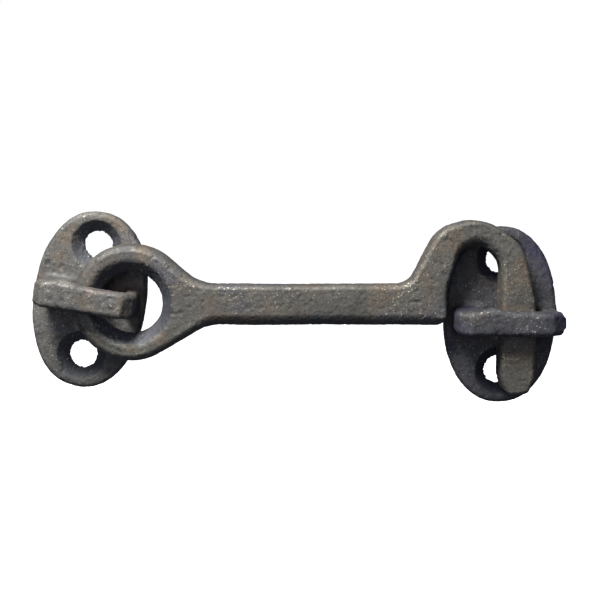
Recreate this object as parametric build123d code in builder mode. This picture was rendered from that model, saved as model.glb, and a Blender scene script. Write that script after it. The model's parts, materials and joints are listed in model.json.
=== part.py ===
"""Cast iron cabin hook: an eye plate and a keeper plate on one wall, joined by a hook.

Frame: the wall is the plane y = 0 and the front looks along -Y. +X runs from the eye plate to the
keeper plate and +Z is up. The origin is on the wall, midway between the eye plate's screw holes.
"""

from build123d import *
import math
import os

os.makedirs("parts", exist_ok=True)

# Wall plates (both alike, but for where the staple sits on them)
PLATE_LENGTH = 35.4
PLATE_WIDTH = 22.2
PLATE_ROUNDNESS = 2.18  # exponent of the outline: 2 is an ellipse, more is squarer
PLATE_THICKNESS = 2.8
PLATE_EDGE = 0.6  # rounding of the front rim
OUTLINE_STEP = 15  # degrees between the points of the outline
SCREW_SPACING = 22.4
SCREW_HOLE_RADIUS = 2.7
COUNTERSINK_RADIUS = 4.9
COUNTERSINK_ANGLE = 96

# Staple on each plate: a bow that stands out of the plate, with a broad left leg and a slim right
# one. Its left and right ends are given across the plate, from the staple's reference point.
STAPLE_SIDES = (-10.2, 9.2)
STAPLE_FRONT = (-8.2, 7.4)
STAPLE_GAP = (-4.1, 6.5)
STAPLE_GAP_DEPTH = 7.2  # from the plate's front to the back of the bar
STAPLE_GAP_ROUND = 0.5
STAPLE_BAR_DEPTH = 3.2
STAPLE_BAR_HEIGHT = 4.4
STAPLE_SHOULDER_DEPTH = 2.2  # from the bar's front back to the shoulder
STAPLE_FOOT_FLARE = 0.4
STAPLE_EDGE = 0.7

# Hook, drawn in its own upright plane with the ring's centre at (0, 0)
HOOK_THICKNESS = 6.2
HOOK_EDGE = 1.7
RING_RADIUS = 11.3
RING_HOLE_RADIUS = 6.0
RING_HOLE_BEVEL = 1.5
NECK_TOP_ANGLE = 49
NECK_BOTTOM_ANGLE = -59
NECK_BLEND = 9.0
SHANK_TOP = 3.4
SHANK_BOTTOM = -4.4
SHANK_HEEL = 61.5  # where the shank ends, under the near side of the arch
HEEL_ROUND = 2.0
HUMP_FOOT = (54.2, SHANK_TOP)
HUMP_FOOT_ROUND = 4.0
HUMP_LEFT = (59.9, 14.3)
HUMP_RIGHT = (68.3, 17.0)
HUMP_TOP_ROUND = 9.0
HUMP_SHOULDER = (76.4, 10.6)
HUMP_SIDE_ROUND = 7.0  # at the hump's left and at its shoulder
ARCH_SPRING = 2.2
ARCH_SPRING_ROUND = 10.0
ARCH_LEFT = (63.7, 9.9)
ARCH_TOP = (68.2, 11.3)
ARCH_RIGHT = (72.2, 7.4)
ARCH_ROUND = 3.0
PRONG_NEAR = 72.2
PRONG_FAR = 78.9
PRONG_ROOT = -1.0
PRONG_ROOT_ROUND = 20.0
PRONG_TIP = -18.0
TIP_TAPER = 3.4  # the tip narrows over this height
TIP_SLANT = 1.2
TIP_ROUND = 1.8
TAPER_ROUND = 4.0

# Places on the wall
EYE_TURN = 9.0  # degrees clockwise, as seen from the front
EYE_STAPLE = (0.75, 1.1)  # across and along the plate, from the middle between its screw holes
RING_CENTRE = (9.25, 0.1)
KEEPER_CENTRE = (82.45, -3.0)
KEEPER_STAPLE = (0.7, -0.6)

TOUCH = 0.01  # two lengths closer than this are the same
CLEAR = 0.1  # edges further out than this from the plate's front belong to the bow

# The hook lies midway between the plates' fronts and the backs of the bars.
HOOK_DEPTH = PLATE_THICKNESS + STAPLE_GAP_DEPTH / 2
GAP_END = PLATE_THICKNESS + STAPLE_GAP_DEPTH
STANDOFF = GAP_END + STAPLE_BAR_DEPTH


def oval_point(angle):
    """A point of the plate's outline, at the given angle in degrees."""
    across, along = math.cos(math.radians(angle)), math.sin(math.radians(angle))
    power = 2 / PLATE_ROUNDNESS
    x = math.copysign(abs(across) ** power, across) * PLATE_WIDTH / 2
    y = math.copysign(abs(along) ** power, along) * PLATE_LENGTH / 2
    return (x, y)


def polar_point(radius, angle):
    """The point at a radius and an angle in degrees from the ring's centre."""
    return (radius * math.cos(math.radians(angle)), radius * math.sin(math.radians(angle)))


def neck_corner(angle, level):
    """Where the ring's tangent at the given angle meets the shank's edge at the given level."""
    x, y = polar_point(RING_RADIUS, angle)
    return (x + (y - level) * math.tan(math.radians(angle)), level)


def is_along(edge, direction):
    """True for a straight edge that runs along the direction."""
    return edge.geom_type == GeomType.LINE and abs(edge.tangent_at(0).dot(direction)) > 1 - TOUCH


def in_front_of_plate(edge):
    """True for an edge of the staple's bow, which stands out in front of the plate."""
    return edge.center().Y < -PLATE_THICKNESS - CLEAR


def wall_plate(centre, turn, staple_place):
    """A wall plate with its staple. Its plane lies on the wall and looks out of it."""
    slope = math.radians(turn)
    wall = Plane(
        origin=(centre[0], 0, centre[1]),
        x_dir=(math.cos(slope), 0, -math.sin(slope)),
        z_dir=(0, -1, 0),
    )
    # In the staple's plan x runs across the plate and y is the distance from the wall.
    middle = wall.origin + wall.x_dir * staple_place[0] + wall.y_dir * staple_place[1]
    plan = Plane(origin=middle, x_dir=wall.x_dir, z_dir=-wall.y_dir)
    shoulder = STANDOFF - STAPLE_SHOULDER_DEPTH

    with BuildPart() as plate:
        # Oval plate with a rounded front rim
        with BuildSketch(wall):
            with BuildLine():
                Spline(*[oval_point(a) for a in range(0, 360, OUTLINE_STEP)], periodic=True)
            make_face()
        extrude(amount=PLATE_THICKNESS)
        fillet(plate.faces().sort_by(Axis.Y)[0].outer_wire().edges(), PLATE_EDGE)

        # Bow of the staple, with slanted shoulders, and the gap behind its bar
        with BuildSketch(plan):
            with BuildLine():
                Polyline(
                    (STAPLE_SIDES[0], PLATE_THICKNESS / 2),
                    (STAPLE_SIDES[1], PLATE_THICKNESS / 2),
                    (STAPLE_SIDES[1], shoulder),
                    (STAPLE_FRONT[1], STANDOFF),
                    (STAPLE_FRONT[0], STANDOFF),
                    (STAPLE_SIDES[0], shoulder),
                    close=True,
                )
            make_face()
        extrude(amount=STAPLE_BAR_HEIGHT / 2, both=True)
        with BuildSketch(plan):
            with Locations((sum(STAPLE_GAP) / 2, (PLATE_THICKNESS + GAP_END) / 2)):
                Rectangle(STAPLE_GAP[1] - STAPLE_GAP[0], STAPLE_GAP_DEPTH)
        extrude(amount=STAPLE_BAR_HEIGHT, both=True, mode=Mode.SUBTRACT)
        # Rounded corners behind the bar, soft edges on the bow, and a small flare at its feet
        upright = plate.edges().filter_by(in_front_of_plate).filter_by(
            lambda e: is_along(e, wall.y_dir)
        )
        fillet(upright.filter_by(lambda e: abs(e.center().Y + GAP_END) < TOUCH), STAPLE_GAP_ROUND)
        bow_edges = plate.edges().filter_by(in_front_of_plate)
        fillet(bow_edges.filter_by(lambda e: not is_along(e, wall.y_dir)), STAPLE_EDGE)
        feet = plate.edges().filter_by(
            lambda e: abs(e.center().Y + PLATE_THICKNESS) < TOUCH and e.geom_type != GeomType.BSPLINE
        )
        fillet(feet, STAPLE_FOOT_FLARE)

        # Countersunk screw holes above and below the staple
        with Locations(wall.offset(PLATE_THICKNESS)):
            with GridLocations(0, SCREW_SPACING, 1, 2):
                CounterSinkHole(
                    SCREW_HOLE_RADIUS, COUNTERSINK_RADIUS, counter_sink_angle=COUNTERSINK_ANGLE
                )
    return plate.part


eye = wall_plate((0, 0), EYE_TURN, EYE_STAPLE)
keeper = wall_plate(KEEPER_CENTRE, 0, KEEPER_STAPLE)

hook_plane = Plane(
    origin=(RING_CENTRE[0], -HOOK_DEPTH, RING_CENTRE[1]), x_dir=(1, 0, 0), z_dir=(0, -1, 0)
)
upper_neck = neck_corner(NECK_TOP_ANGLE, SHANK_TOP)
lower_neck = neck_corner(NECK_BOTTOM_ANGLE, SHANK_BOTTOM)
# Corners of the hook's outline, clockwise from the upper neck, each with the radius that rounds it
outline = [
    (upper_neck, NECK_BLEND),
    (HUMP_FOOT, HUMP_FOOT_ROUND),
    (HUMP_LEFT, HUMP_SIDE_ROUND),
    (HUMP_RIGHT, HUMP_TOP_ROUND),
    (HUMP_SHOULDER, HUMP_SIDE_ROUND),
    ((PRONG_FAR, PRONG_ROOT), PRONG_ROOT_ROUND),
    ((PRONG_FAR, PRONG_TIP + TIP_TAPER), TAPER_ROUND),
    ((PRONG_FAR - TIP_SLANT, PRONG_TIP), TIP_ROUND),
    ((PRONG_NEAR + TIP_SLANT, PRONG_TIP), TIP_ROUND),
    ((PRONG_NEAR, PRONG_TIP + TIP_TAPER), TAPER_ROUND),
    (ARCH_RIGHT, ARCH_ROUND),
    (ARCH_TOP, ARCH_ROUND),
    (ARCH_LEFT, ARCH_ROUND),
    ((SHANK_HEEL, ARCH_SPRING), ARCH_SPRING_ROUND),
    ((SHANK_HEEL, SHANK_BOTTOM), HEEL_ROUND),
    (lower_neck, NECK_BLEND),
]

with BuildPart() as hook:
    with BuildSketch(hook_plane) as profile:
        Circle(RING_RADIUS)
        with BuildLine():
            Polyline(
                polar_point(RING_RADIUS, NECK_TOP_ANGLE),
                *[corner for corner, radius in outline],
                polar_point(RING_RADIUS, NECK_BOTTOM_ANGLE),
                close=True,
            )
        make_face()
        for corner, radius in outline:
            fillet(profile.vertices().sort_by_distance(corner)[0], radius)
    extrude(amount=HOOK_THICKNESS / 2, both=True)
    fillet(hook.faces().filter_by(Axis.Y).edges(), HOOK_EDGE)
    with Locations(hook_plane):
        Cylinder(RING_HOLE_RADIUS, HOOK_THICKNESS, mode=Mode.SUBTRACT)
    ring_hole = hook.faces().filter_by(GeomType.CYLINDER).filter_by(
        lambda f: abs(f.radius - RING_HOLE_RADIUS) < TOUCH
    )
    fillet(ring_hole.edges().filter_by(GeomType.CIRCLE), RING_HOLE_BEVEL)

for name, part in [("eye_plate", eye), ("keeper_plate", keeper), ("hook", hook.part)]:
    part.label = name
    export_step(part, f"parts/{name}.step")
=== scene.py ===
"""Cast iron cabin hook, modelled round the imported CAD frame.

Each casting is an implicit solid: a function that gives, in millimetres, how far a point lies
outside the casting. A fine skin of the CAD node is drawn onto that solid and roughened like
sand-cast iron.
"""

import json
import math

import bpy
import numpy as np
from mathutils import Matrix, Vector, noise


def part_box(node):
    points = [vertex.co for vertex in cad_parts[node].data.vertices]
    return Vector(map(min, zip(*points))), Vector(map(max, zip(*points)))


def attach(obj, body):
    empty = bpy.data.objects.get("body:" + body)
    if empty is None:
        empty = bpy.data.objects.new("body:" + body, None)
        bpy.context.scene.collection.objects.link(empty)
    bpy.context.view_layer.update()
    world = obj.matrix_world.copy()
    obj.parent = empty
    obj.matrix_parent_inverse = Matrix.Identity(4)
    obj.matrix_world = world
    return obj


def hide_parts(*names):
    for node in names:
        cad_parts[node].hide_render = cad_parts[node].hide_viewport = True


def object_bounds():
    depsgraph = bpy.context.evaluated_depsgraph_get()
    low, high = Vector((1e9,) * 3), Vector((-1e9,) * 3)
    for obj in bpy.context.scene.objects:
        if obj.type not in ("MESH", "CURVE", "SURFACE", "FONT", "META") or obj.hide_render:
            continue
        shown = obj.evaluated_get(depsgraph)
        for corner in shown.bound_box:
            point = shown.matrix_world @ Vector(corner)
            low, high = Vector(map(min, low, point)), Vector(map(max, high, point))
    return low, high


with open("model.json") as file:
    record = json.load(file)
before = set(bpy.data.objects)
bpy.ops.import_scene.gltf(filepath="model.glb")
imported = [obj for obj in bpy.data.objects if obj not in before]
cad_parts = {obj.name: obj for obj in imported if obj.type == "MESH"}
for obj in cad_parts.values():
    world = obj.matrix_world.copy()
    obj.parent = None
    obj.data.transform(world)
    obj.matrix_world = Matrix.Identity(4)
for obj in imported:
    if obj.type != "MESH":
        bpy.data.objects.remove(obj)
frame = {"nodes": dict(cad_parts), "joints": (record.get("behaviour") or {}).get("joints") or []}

MM = 0.001
cad_low, cad_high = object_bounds()

# ---------------------------------------------------------------- sizes, in millimetres

PLATE_VOXEL = 0.2  # grids of the fine skins
HOOK_VOXEL = 0.22

# Wall plate. u runs across it, v along it and w out of the wall.
PLATE_HALF_WIDTH = 11.1
PLATE_HALF_LENGTH = 17.7
PLATE_ROUNDNESS = 2.18  # exponent of the outline: 2 is an ellipse, more is squarer
PLATE_THICKNESS = 2.8
PLATE_RIM = 0.9
PLATE_BACK_RIM = 0.3
SCREW_OFFSET = 11.2
SCREW_HOLE_RADIUS = 2.8
COUNTERSINK_RADIUS = 4.9
COUNTERSINK_DEPTH = 2.0
CONE_END = 1.3  # the cutting cone runs on this far past its start, to clear the plate's front
CONE_STEEPNESS = 0.8  # turns distance from the screw's axis into distance from the cone
COUNTERSINK_SOFTNESS = 0.12  # rounding of the countersink's rim
HOLE_BURR = 0.16  # how ragged the cast screw holes are
BURR_FADE = 2.5  # more makes the raggedness end deeper in the countersink
HOLE_RIPPLES = ((3, 0.3), (8, 0.3), (17, 0.45), (29, 0.45), (41, 0.3))  # (waves round, strength)

# Staple, across the plate from its reference point
GAP_LEFT, GAP_RIGHT = -4.1, 6.5
GAP_END = PLATE_THICKNESS + 7.2
GAP_ROUND = 1.0
STANDOFF = GAP_END + 3.2
SHOULDER = STANDOFF - 2.2
FRONT_LEFT, FRONT_RIGHT = -8.2, 7.4
BOW_CORNER_ROUND = 1.1
BOW_INNER_EDGE = 0.5
LEG_WAIST = 0.4  # the legs are this much narrower at the plate than at their widest
LEG_WIDEST = 7.5  # distance from the wall where the legs reach furthest out
LEG_BULGE_ROUND = 4.0
LEG_HALF_HEIGHT = 2.05  # of the staple's legs, up to the front of the space the hook sweeps
HOOK_SWEEP_FRONT = 9.7
BAR_STEP = 0.8  # over this depth the legs' height turns into the bar's
STAPLE_FLARE = 0.5  # how much taller the legs grow where they meet the plate
FLARE_HEIGHT = 5.0  # from the plate to where the flare ends
STAPLE_EDGE = 0.95
STAPLE_LUMP = 0.7  # how far the bar swells upwards over the inner end of its broad leg
LUMP_WIDTH = 2.4  # to either side of the lump's middle
STAPLE_WEB = 1.3  # fillet between the legs and the plate

# Hook, in its own upright plane: x along it, z up and y out of the wall, from the ring's centre
HOOK_HALF_THICKNESS = 3.1
RING_RADIUS = 11.3
RING_HOLE_RADIUS = 6.0
RING_BEVEL = 2.3
RING_BEVEL_SOFTNESS = 0.5
NECK_TOP_ANGLE = 49
NECK_BOTTOM_ANGLE = -59
SHANK_TOP = 3.4
SHANK_BOTTOM = -4.4
SHANK_HEEL = 61.5  # where the shank ends, under the near side of the arch
NECK_BLEND = 9.0
HUMP_FOOT = 54.2
HUMP_LEFT = (59.9, 14.3)
HUMP_TOP = (68.3, 17.0)
HUMP_SHOULDER = (76.4, 10.6)
HUMP_SIDE_ROUND = 7.0
HUMP_TOP_ROUND = 9.0
ARCH_SPRING = 2.2
ARCH_LEFT = (63.7, 9.9)
ARCH_TOP = (68.0, 11.5)
ARCH_RIGHT = 8.1
PRONG_NEAR = 72.2
PRONG_FAR = 78.9
PRONG_ROOT = -1.0
PRONG_TIP = -18.0
TIP_TAPER = 3.4  # the tip narrows over this height
TIP_SLANT = 1.2
TIP_ROUND = 1.8
TAPER_ROUND = 4.0
TIP_PLAIN = 6.0  # the rounded underside begins this far above the tip, and is full at twice that
RING_ROUND = 1.9  # rounding of the ring's outer edges
SHANK_ROUND = 1.1  # rounding of the shank's, hump's and prong's edges
UNDERSIDE_ROUND = 3.0  # the same where they face down
RING_BLEND_END = 16.0  # the ring's rounding has turned into the shank's at this radius
CASTING_SWELL = 0.1  # castings come out this much fuller than their pattern

# Painted shade: countersinks, the ring's bore and surfaces that face down are painted a darker,
# bluish colour
PAINTED_SHADE_MARGIN = 0.1  # past the edge of a countersink or of the ring's bevel
PAINTED_SHADE_FADE = 0.5
UNDERSIDE_PAINTED_SHADE = 0.6  # how far undersides take the painted shade colour
UNDERSIDE_START = 0.3  # how far down, from 0 to 1, a surface faces before it takes painted shade

# Sand-cast skin: (size across, height) of its waves, and its pits
SKIN_WAVES = ((8.0, 0.12), (2.6, 0.045), (0.9, 0.05), (0.5, 0.04))
PIT_SIZE = 1.1
PIT_DEPTH = 0.3
PIT_THRESHOLD = 0.3  # noise above this makes a pit
SEED_SHIFT = (31.7, 17.3, 5.1)  # how far each casting's skin is moved from the one before

# Where each plate's staple sits, and how far its legs reach left and right of its reference point
EYE_TURN = 9.0  # degrees clockwise
EYE_STAPLE = (0.75, 1.2)
EYE_REACH = (-9.9, 9.3)
EYE_BAR_HALF_HEIGHT = 2.4
KEEPER_STAPLE = (0.7, -0.6)
KEEPER_REACH = (-10.6, 10.4)
KEEPER_BAR_HALF_HEIGHT = 2.2

# Places, read from the frame
hinge = next(j for j in frame["joints"] if j["name"] == "hook_lift")
RING_CENTRE = Vector(hinge["pos_m"])
EYE_CENTRE = Vector((0, 0, 0))
keeper_low, keeper_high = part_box("keeper_plate")
KEEPER_CENTRE = Vector(
    ((keeper_low[0] + keeper_high[0]) / 2, 0, (keeper_low[2] + keeper_high[2]) / 2)
)


# ---------------------------------------------------------------- outlines


def polar(radius, angle):
    """The point at a radius and an angle in degrees from the ring's centre."""
    return (radius * math.cos(math.radians(angle)), radius * math.sin(math.radians(angle)))


def neck_corner(angle, level):
    """Where the ring's tangent at the given angle meets the shank's edge at the given level."""
    x, y = polar(RING_RADIUS, angle)
    return (x + (y - level) * math.tan(math.radians(angle)), level)


def rounded_outline(corners):
    """Points round a closed outline. Each corner is ((x, y), radius)."""
    points = []
    count = len(corners)
    for i, (corner, radius) in enumerate(corners):
        here = Vector(corner)
        if radius == 0:
            points.append(here)
            continue
        before = (Vector(corners[i - 1][0]) - here).normalized()
        after = (Vector(corners[(i + 1) % count][0]) - here).normalized()
        half = before.angle(after) / 2
        centre = here + (before + after).normalized() * radius / math.sin(half)
        start = here + before * radius / math.tan(half) - centre
        end = here + after * radius / math.tan(half) - centre
        steps = max(3, int(math.degrees(start.angle(end)) / 6))
        for k in range(steps + 1):
            points.append(centre + start.slerp(end, k / steps).normalized() * radius)
    return np.array([tuple(p) for p in points])


def outline_distance(x, y, outline):
    """Signed distance to a closed outline, negative inside, and how far it faces down there."""
    best = np.full(x.shape, 1e9)
    near_y = np.zeros(x.shape)
    inside = np.zeros(x.shape, bool)
    for a, b in zip(outline, np.roll(outline, -1, axis=0)):
        edge = b - a
        length = edge @ edge
        if length < 1e-12:
            continue
        t = np.clip(((x - a[0]) * edge[0] + (y - a[1]) * edge[1]) / length, 0, 1)
        dx, dy = x - a[0] - t * edge[0], y - a[1] - t * edge[1]
        d = dx * dx + dy * dy
        closer = d < best
        best = np.where(closer, d, best)
        near_y = np.where(closer, dy, near_y)
        if edge[1] != 0:
            crosses = (a[1] > y) != (b[1] > y)
            inside ^= crosses & (x < a[0] + (y - a[1]) * edge[0] / edge[1])
    distance = np.sqrt(best)
    sign = np.where(inside, -1, 1)
    down = np.clip(-sign * near_y / np.maximum(distance, 1e-6), 0, 1)
    return sign * distance, down


shank_outline = rounded_outline(
    [
        (polar(RING_RADIUS, NECK_TOP_ANGLE), 0),
        (neck_corner(NECK_TOP_ANGLE, SHANK_TOP), NECK_BLEND),
        ((HUMP_FOOT, SHANK_TOP), 4.0),
        (HUMP_LEFT, HUMP_SIDE_ROUND),
        (HUMP_TOP, HUMP_TOP_ROUND),
        (HUMP_SHOULDER, HUMP_SIDE_ROUND),
        ((PRONG_FAR, PRONG_ROOT), 20.0),
        ((PRONG_FAR, PRONG_TIP + TIP_TAPER), TAPER_ROUND),
        ((PRONG_FAR - TIP_SLANT, PRONG_TIP), TIP_ROUND),
        ((PRONG_NEAR + TIP_SLANT, PRONG_TIP), TIP_ROUND),
        ((PRONG_NEAR, PRONG_TIP + TIP_TAPER), TAPER_ROUND),
        ((PRONG_NEAR, ARCH_RIGHT), 4.2),
        (ARCH_TOP, 3.2),
        (ARCH_LEFT, 3.0),
        ((SHANK_HEEL, ARCH_SPRING), 10.0),
        ((SHANK_HEEL, SHANK_BOTTOM), 2.0),
        (neck_corner(NECK_BOTTOM_ANGLE, SHANK_BOTTOM), NECK_BLEND),
        (polar(RING_RADIUS, NECK_BOTTOM_ANGLE), 0),
    ]
)

gap_outline = rounded_outline(
    [
        ((GAP_LEFT, PLATE_THICKNESS - 1), 0),
        ((GAP_RIGHT, PLATE_THICKNESS - 1), 0),
        ((GAP_RIGHT, GAP_END), GAP_ROUND),
        ((GAP_LEFT, GAP_END), GAP_ROUND),
    ]
)


def bow_outline(reach):
    """The staple's outer line, seen along v, with legs that swell out to the reach given."""
    left, right = reach
    foot = PLATE_THICKNESS / 2
    return rounded_outline(
        [
            ((left + LEG_WAIST, foot), 0),
            ((right - LEG_WAIST, foot), 0),
            ((right, LEG_WIDEST), LEG_BULGE_ROUND),
            ((right, SHOULDER), BOW_CORNER_ROUND),
            ((FRONT_RIGHT, STANDOFF), BOW_CORNER_ROUND),
            ((FRONT_LEFT, STANDOFF), BOW_CORNER_ROUND),
            ((left, SHOULDER), BOW_CORNER_ROUND),
            ((left, LEG_WIDEST), LEG_BULGE_ROUND),
        ]
    )


# ---------------------------------------------------------------- implicit solids


def rounded_edge(a, b, radius):
    """The common inside of two solids whose meeting edge is rounded."""
    over = np.hypot(np.maximum(a + radius, 0), np.maximum(b + radius, 0))
    return np.minimum(np.maximum(a, b), -radius) + over


def blended(a, b, size):
    """Two solids run together with a fillet of about this size."""
    h = np.maximum(size - np.abs(a - b), 0) / size
    return np.minimum(a, b) - h * h * size / 4


def bevelled_edge(a, b, width, soft):
    """The common inside of two solids whose meeting edge has a flat, softened bevel."""
    bevel = (a + b + width) / math.sqrt(2)
    return -blended(-np.maximum(a, b), -bevel, soft)


def hook_solid(p):
    """Distance outside the hook, whose edges are rounded more on the ring and on undersides."""
    x, y, z = p.T
    body, down = outline_distance(x, z, shank_outline)
    reach = np.hypot(x, z)
    ring = reach - RING_RADIUS
    near_ring = np.clip((RING_BLEND_END - reach) / (RING_BLEND_END - RING_RADIUS), 0, 1)
    above_tip = np.clip((z - PRONG_TIP) / TIP_PLAIN - 1, 0, 1)
    edge = SHANK_ROUND + (UNDERSIDE_ROUND - SHANK_ROUND) * down**2 * above_tip
    edge = edge + (RING_ROUND - edge) * near_ring
    depth = np.abs(y) - HOOK_HALF_THICKNESS
    solid = rounded_edge(np.minimum(body, ring), depth, edge) - CASTING_SWELL
    bore = RING_HOLE_RADIUS - reach
    return np.maximum(solid, bevelled_edge(bore, depth, RING_BEVEL, RING_BEVEL_SOFTNESS))


def ragged(angle, seed):
    """An uneven ripple round a cast hole, between about -1 and 1."""
    return sum(size * np.sin(turns * angle + seed * turns) for turns, size in HOLE_RIPPLES)


def plate_solid(p, staple_place, reach, bar_half_height, seed):
    """Distance outside a wall plate with its staple and screw holes."""
    u, v, w = p.T
    # Oval plate
    n = PLATE_ROUNDNESS
    su, sv = np.abs(u) / PLATE_HALF_WIDTH + 1e-6, np.abs(v) / PLATE_HALF_LENGTH + 1e-6
    q = (su**n + sv**n) ** (1 / n)
    slope_u, slope_v = su ** (n - 1) / PLATE_HALF_WIDTH, sv ** (n - 1) / PLATE_HALF_LENGTH
    slope = q ** (1 - n) * np.hypot(slope_u, slope_v)
    plate = rounded_edge((q - 1) / slope, w - PLATE_THICKNESS, PLATE_RIM)
    plate = rounded_edge(plate, -w, PLATE_BACK_RIM)
    # Bow of the staple
    across = u - staple_place[0]
    outer, _ = outline_distance(across, w, bow_outline(reach))
    gap, _ = outline_distance(across, w, gap_outline)
    rise = np.clip((w - PLATE_THICKNESS) / FLARE_HEIGHT, 0, 1)
    lump = STAPLE_LUMP * np.exp(-(((across - GAP_LEFT) / LUMP_WIDTH) ** 2)) * (v > staple_place[1])
    in_bar = np.clip((w - HOOK_SWEEP_FRONT) / BAR_STEP, 0, 1)
    height = LEG_HALF_HEIGHT + (bar_half_height - LEG_HALF_HEIGHT + lump) * in_bar
    height = height + STAPLE_FLARE * (1 - rise) ** 2
    bow = rounded_edge(outer, -gap, BOW_INNER_EDGE)
    bow = rounded_edge(bow, np.abs(v - staple_place[1]) - height, STAPLE_EDGE)
    solid = blended(plate, bow, STAPLE_WEB) - CASTING_SWELL
    # Countersunk screw holes, ragged where they are narrow
    for side in (-1, 1):
        dv = v - side * SCREW_OFFSET
        away = np.hypot(u, dv)
        cone = np.clip((w - PLATE_THICKNESS) / COUNTERSINK_DEPTH + 1, 0, CONE_END)
        narrow = np.clip(1 - BURR_FADE * cone, 0, 1)
        burr = HOLE_BURR * ragged(np.arctan2(dv, u), seed + side) * narrow
        radius = SCREW_HOLE_RADIUS + (COUNTERSINK_RADIUS - SCREW_HOLE_RADIUS) * cone + burr
        solid = rounded_edge(solid, (radius - away) * CONE_STEEPNESS, COUNTERSINK_SOFTNESS)
    return solid


# ---------------------------------------------------------------- from solid to mesh


def fine_skin(node, voxel):
    """A fine, even mesh of a CAD node's surface, in metres."""
    cad = frame["nodes"][node]
    copy = bpy.data.objects.new(node + "_skin", cad.data.copy())
    bpy.context.scene.collection.objects.link(copy)
    copy.matrix_world = cad.matrix_world.copy()
    remesh = copy.modifiers.new("remesh", "REMESH")
    remesh.mode = "VOXEL"
    remesh.voxel_size = voxel * MM
    remesh.adaptivity = 0
    view = bpy.context.evaluated_depsgraph_get()
    mesh = bpy.data.meshes.new_from_object(copy.evaluated_get(view))
    mesh.transform(copy.matrix_world)
    bpy.data.objects.remove(copy)
    return mesh


def gradient(solid, p, step=0.02):
    """Slope of the solid's distance at each point."""
    out = np.empty_like(p)
    for axis in range(3):
        shift = np.zeros(3)
        shift[axis] = step
        out[:, axis] = (solid(p + shift) - solid(p - shift)) / (2 * step)
    return out


def draw_onto(solid, p, rounds=7, longest_step=0.6, flattest=0.05):
    """Moves points to the solid's surface. Returns them and their outward normals."""
    for _ in range(rounds):
        g = gradient(solid, p)
        size = np.maximum((g * g).sum(1), flattest)
        p = p + np.clip(-solid(p) / size, -longest_step, longest_step)[:, None] * g
    g = gradient(solid, p)
    return p, g / np.maximum(np.linalg.norm(g, axis=1), 1e-6)[:, None]


def sand_skin(p, seed):
    """Height of the sand-cast skin at each point: waves of several sizes, and pits."""
    shift = Vector([seed * step for step in SEED_SHIFT])
    out = np.empty(len(p))
    for i, point in enumerate(p):
        q = Vector(point) + shift
        waves = sum(height * noise.noise(q / size) for size, height in SKIN_WAVES)
        pit = max(noise.noise(q / PIT_SIZE + shift) - PIT_THRESHOLD, 0)
        out[i] = waves - PIT_DEPTH * pit
    return out


# Masks for painted shade: 1 in the ring's bore and in the countersinks, fading out just past their
# edges
def within(radius, away):
    """1 well inside the radius, falling to 0 just outside it."""
    return np.clip((radius + PAINTED_SHADE_MARGIN - away) / PAINTED_SHADE_FADE, 0, 1)


def in_ring_bore(p):
    """1 on the ring's inner bevel and bore, 0 on the rest of the hook."""
    return within(RING_HOLE_RADIUS + RING_BEVEL, np.hypot(p[:, 0], p[:, 2]))


def in_countersink(p):
    """1 in a plate's countersunk holes, 0 on the rest of the plate."""
    return within(COUNTERSINK_RADIUS, np.hypot(p[:, 0], np.abs(p[:, 1]) - SCREW_OFFSET))


def casting(name, node, solid, recess, to_local, voxel, seed):
    """Builds one casting's object from its solid, which is in the frame that to_local leads to."""
    mesh = fine_skin(node, voxel)
    world = np.empty(len(mesh.vertices) * 3)
    mesh.vertices.foreach_get("co", world)
    local = (world.reshape(-1, 3) @ to_local[:3, :3].T + to_local[:3, 3]) / MM
    local, normal = draw_onto(solid, local)
    height = sand_skin(local, seed)
    local = local + normal * height[:, None]
    back = np.linalg.inv(to_local)
    world = (local * MM) @ back[:3, :3].T + back[:3, 3]
    mesh.vertices.foreach_set("co", world.ravel())
    # Painted shade: recesses, and surfaces the more they face down, are marked to take a darker,
    # bluish colour
    facing_down = np.clip(-(normal @ back[:3, :3].T)[:, 2] - UNDERSIDE_START, 0, 1)
    painted_shade_mask = np.maximum(recess(local), UNDERSIDE_PAINTED_SHADE * facing_down)
    for attribute, values in (("skin_height", height), ("painted_shade_mask", painted_shade_mask)):
        mesh.attributes.new(attribute, "FLOAT", "POINT").data.foreach_set("value", values)
    mesh.polygons.foreach_set("use_smooth", np.ones(len(mesh.polygons), bool))
    mesh.update()
    mesh.name = name
    piece = bpy.data.objects.new(name, mesh)
    bpy.context.scene.collection.objects.link(piece)
    return piece


def local_frame(rows, origin):
    """Matrix from the row frame to a frame with these axes and this origin."""
    rows = [Vector(r) for r in rows]
    return np.array([[*r, -r.dot(origin)] for r in rows] + [[0, 0, 0, 1]])


def wall_frame(centre, turn):
    """Matrix to a wall plate's frame: across the plate, along it and out of the wall."""
    a = math.radians(turn)
    across, along = (math.cos(a), 0, -math.sin(a)), (math.sin(a), 0, math.cos(a))
    return local_frame((across, along, (0, -1, 0)), centre)


# ---------------------------------------------------------------- materials


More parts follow.
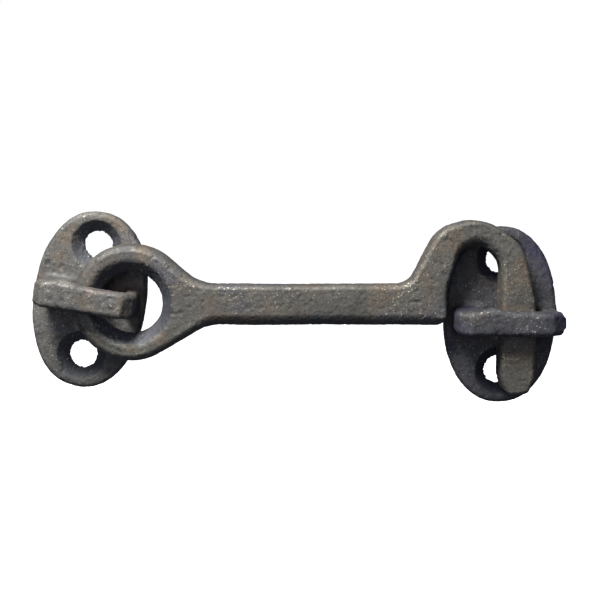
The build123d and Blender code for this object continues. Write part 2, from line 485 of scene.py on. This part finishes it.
class Shading:
    """A material's nodes, with short ways to add the ones that cast iron needs."""

    def __init__(self, name):
        self.material = bpy.data.materials.new(name)
        self.material.use_nodes = True
        self.nodes = self.material.node_tree.nodes
        self.links = self.material.node_tree.links
        self.shader = self.nodes["Principled BSDF"]
        self.place = self.nodes.new("ShaderNodeTexCoord").outputs["Object"]

    def attribute(self, name):
        node = self.nodes.new("ShaderNodeAttribute")
        node.attribute_name = name
        return node.outputs["Fac"]

    def noise(self, size_mm, detail, rough=0.55):
        node = self.nodes.new("ShaderNodeTexNoise")
        node.inputs["Scale"].default_value = 1 / (size_mm * MM)
        node.inputs["Detail"].default_value = detail
        node.inputs["Roughness"].default_value = rough
        self.links.new(self.place, node.inputs["Vector"])
        return node.outputs["Fac"]

    def spread(self, value, low, high, to_low=0.0, to_high=1.0):
        """Maps the value from low..high to to_low..to_high, held at both ends."""
        node = self.nodes.new("ShaderNodeMapRange")
        for socket, number in zip(
            ("From Min", "From Max", "To Min", "To Max"), (low, high, to_low, to_high)
        ):
            node.inputs[socket].default_value = number
        self.links.new(value, node.inputs["Value"])
        return node.outputs["Result"]

    def math(self, operation, a, b):
        node = self.nodes.new("ShaderNodeMath")
        node.operation = operation
        for socket, value in zip(node.inputs, (a, b)):
            if isinstance(value, (int, float)):
                socket.default_value = value
            else:
                self.links.new(value, socket)
        return node.outputs["Value"]

    def mix(self, factor, under, over):
        """Lays the colour over another by the factor. A colour is a tuple or a socket."""
        node = self.nodes.new("ShaderNodeMixRGB")
        self.links.new(factor, node.inputs["Fac"])
        for socket, colour in (("Color1", under), ("Color2", over)):
            if isinstance(colour, tuple):
                node.inputs[socket].default_value = (*colour, 1)
            else:
                self.links.new(colour, node.inputs[socket])
        return node.outputs["Color"]


SPECK = (0.014, 0.014, 0.018)


def iron(name, dark, light, rust, bloom, painted_shade_colour, worn, gloss):
    """Rough cast iron: dark hollows, light crests, brown and bluish stains, small bright grains.

    Countersinks, the ring's bore and undersides are painted a darker, bluish colour as painted
    shade.
    """
    s = Shading(name)
    # Half the tone follows the skin's height, half is blotches of its own.
    crest = s.spread(s.attribute("skin_height"), -0.12, 0.12)
    blotch = s.spread(s.noise(3.0, 8, 0.7), 0.28, 0.72)
    tone = s.math("ADD", s.math("MULTIPLY", crest, 0.5), s.math("MULTIPLY", blotch, 0.5))
    colour = s.mix(tone, dark, light)
    # Stains a few millimetres across
    colour = s.mix(s.spread(s.noise(6.5, 5), 0.50, 0.64, 0, 0.8), colour, rust)
    colour = s.mix(s.spread(s.noise(11.0, 4), 0.52, 0.66, 0, 0.7), colour, bloom)
    # Black specks, then painted shade: a darker, bluish colour in recesses and on undersides
    colour = s.mix(s.spread(s.noise(0.5, 3), 0.32, 0.46, 0.6, 0), colour, SPECK)
    colour = s.mix(s.math("MULTIPLY", s.attribute("painted_shade_mask"), 0.8), colour, painted_shade_colour)
    # Grains worn bright, on the crests only
    grains = s.spread(s.noise(0.33, 1, 0.3), 0.64, 0.72)
    grains = s.math("MULTIPLY", grains, s.spread(crest, 0.4, 0.9))
    colour = s.mix(grains, colour, worn)
    s.links.new(colour, s.shader.inputs["Base Color"])

    # The gloss varies over the skin, and the worn grains shine more.
    dull = s.spread(s.noise(2.0, 5, 0.6), 0.35, 0.65, gloss, gloss + 0.25)
    dull = s.math("SUBTRACT", dull, s.math("MULTIPLY", grains, 0.2))
    s.links.new(dull, s.shader.inputs["Roughness"])
    s.shader.inputs["Metallic"].default_value = 0.35
    s.shader.inputs["Specular IOR Level"].default_value = 0.5

    bump = s.nodes.new("ShaderNodeBump")
    bump.inputs["Strength"].default_value = 0.7
    bump.inputs["Distance"].default_value = 0.10 * MM
    s.links.new(s.noise(0.36, 4, 0.65), bump.inputs["Height"])
    s.links.new(bump.outputs["Normal"], s.shader.inputs["Normal"])
    return s.material


eye_iron = iron(
    "eye_plate_iron",
    dark=(0.030, 0.030, 0.033),
    light=(0.135, 0.130, 0.120),
    rust=(0.110, 0.086, 0.062),
    bloom=(0.074, 0.062, 0.080),
    painted_shade_colour=(0.050, 0.056, 0.068),
    worn=(0.46, 0.42, 0.34),
    gloss=0.56,
)
# The keeper plate's iron is the eye plate's iron painted darker and bluer: painted shade
keeper_painted_shade_iron = iron(
    "keeper_plate_iron_painted_shade",
    dark=(0.018, 0.019, 0.028),
    light=(0.074, 0.073, 0.078),
    rust=(0.052, 0.044, 0.040),
    bloom=(0.034, 0.031, 0.060),
    painted_shade_colour=(0.022, 0.023, 0.040),
    worn=(0.30, 0.28, 0.25),
    gloss=0.50,
)
hook_iron = iron(
    "cast_hook_iron",
    dark=(0.036, 0.036, 0.036),
    light=(0.112, 0.106, 0.092),
    rust=(0.098, 0.076, 0.058),
    bloom=(0.058, 0.060, 0.074),
    painted_shade_colour=(0.042, 0.046, 0.060),
    worn=(0.50, 0.46, 0.34),
    gloss=0.50,
)

# ---------------------------------------------------------------- the three castings

eye = casting(
    "eye_plate_casting",
    "eye_plate",
    lambda p: plate_solid(p, EYE_STAPLE, EYE_REACH, EYE_BAR_HALF_HEIGHT, seed=1),
    in_countersink,
    wall_frame(EYE_CENTRE, EYE_TURN),
    voxel=PLATE_VOXEL,
    seed=1,
)
keeper = casting(
    "keeper_plate_casting",
    "keeper_plate",
    lambda p: plate_solid(p, KEEPER_STAPLE, KEEPER_REACH, KEEPER_BAR_HALF_HEIGHT, seed=2),
    in_countersink,
    wall_frame(KEEPER_CENTRE, 0),
    voxel=PLATE_VOXEL,
    seed=2,
)
hook = casting(
    "hook_casting",
    "hook",
    hook_solid,
    in_ring_bore,
    local_frame(((1, 0, 0), (0, -1, 0), (0, 0, 1)), RING_CENTRE),
    voxel=HOOK_VOXEL,
    seed=3,
)
for piece, node, material, slot in (
    (eye, "eye_plate", eye_iron, "plate_iron"),
    (keeper, "keeper_plate", keeper_painted_shade_iron, "plate_iron"),
    (hook, "hook", hook_iron, "hook_iron"),
):
    piece.data.materials.clear()
    piece.data.materials.append(material)
    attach(piece, node)
    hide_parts(node)

# ---------------------------------------------------------------- stage, light and camera

# In metres, from here on
FLOOR_HALF_SIDE = 3.0
FLOOR_DROP = 0.03  # from the lowest point of the casting to the floor

floor_mesh = bpy.data.meshes.new("floor")
floor_height = cad_low.z - FLOOR_DROP
floor_corners = [
    (x * FLOOR_HALF_SIDE, y * FLOOR_HALF_SIDE, floor_height)
    for x, y in ((-1, -1), (1, -1), (1, 1), (-1, 1))
]
floor_mesh.from_pydata(floor_corners, [], [(0, 1, 2, 3)])
floor = bpy.data.objects.new("floor", floor_mesh)
bpy.context.scene.collection.objects.link(floor)
pale = bpy.data.materials.new("pale_floor")
pale.use_nodes = True
paint = pale.node_tree.nodes["Principled BSDF"]
paint.inputs["Base Color"].default_value = (0.9, 0.9, 0.9, 1)
paint.inputs["Roughness"].default_value = 0.9
paint.inputs["Emission Color"].default_value = (1, 1, 1, 1)
paint.inputs["Emission Strength"].default_value = 1.0
floor.data.materials.append(pale)
floor.visible_diffuse = False
floor.visible_glossy = False


def lamp(name, place, target, size, watts, colour):
    """A square lamp that faces its target and isn't seen itself."""
    data = bpy.data.lights.new(name, "AREA")
    data.size, data.energy, data.color = size, watts, colour
    light = bpy.data.objects.new(name, data)
    light.location = place
    light.rotation_mode = "QUATERNION"
    light.rotation_quaternion = (Vector(target) - Vector(place)).to_track_quat("-Z", "Y")
    light.visible_camera = False
    bpy.context.scene.collection.objects.link(light)


middle = (0.035, -0.006, 0.0)
lamp("key", (-0.04, -0.14, 0.21), middle, 0.09, 2.2, (1.0, 0.985, 0.94))
lamp("fill", (-0.05, -0.45, 0.12), middle, 0.4, 0.6, (0.88, 0.93, 1.0))

AROUND = 0.12  # strength of the bluish light from all round; the camera sees plain white there
world = bpy.data.worlds.new("studio")
bpy.context.scene.world = world
world.use_nodes = True
nodes, links = world.node_tree.nodes, world.node_tree.links
seen = nodes["Background"]
seen.inputs["Color"].default_value, seen.inputs["Strength"].default_value = (1, 1, 1, 1), 1.0
around = nodes.new("ShaderNodeBackground")
around.inputs["Color"].default_value = (0.70, 0.78, 1.0, 1)
around.inputs["Strength"].default_value = AROUND
path = nodes.new("ShaderNodeLightPath")
pick = nodes.new("ShaderNodeMixShader")
links.new(path.outputs["Is Camera Ray"], pick.inputs["Fac"])
links.new(around.outputs["Background"], pick.inputs[1])
links.new(seen.outputs["Background"], pick.inputs[2])
links.new(pick.outputs["Shader"], nodes["World Output"].inputs["Surface"])

CAMERA_DISTANCE = 0.200  # from the plates' front faces
CAMERA_RISE = math.radians(6.0)
SHOWN_WIDTH = 0.1184  # what the picture spans at the plates' front faces
aim = Vector((0.04145, -PLATE_THICKNESS * MM, 0.0009))
camera_data = bpy.data.cameras.new("camera")
camera_data.sensor_width = 36
camera_data.lens = camera_data.sensor_width * CAMERA_DISTANCE / SHOWN_WIDTH
camera_data.clip_start = 0.01
camera = bpy.data.objects.new("camera", camera_data)
towards_camera = Vector((0, -math.cos(CAMERA_RISE), math.sin(CAMERA_RISE)))
camera.location = aim + CAMERA_DISTANCE * towards_camera
camera.rotation_mode = "QUATERNION"
camera.rotation_quaternion = (aim - camera.location).to_track_quat("-Z", "Y")
bpy.context.scene.collection.objects.link(camera)
bpy.context.scene.camera = camera
bpy.context.scene.view_settings.view_transform = "Standard"
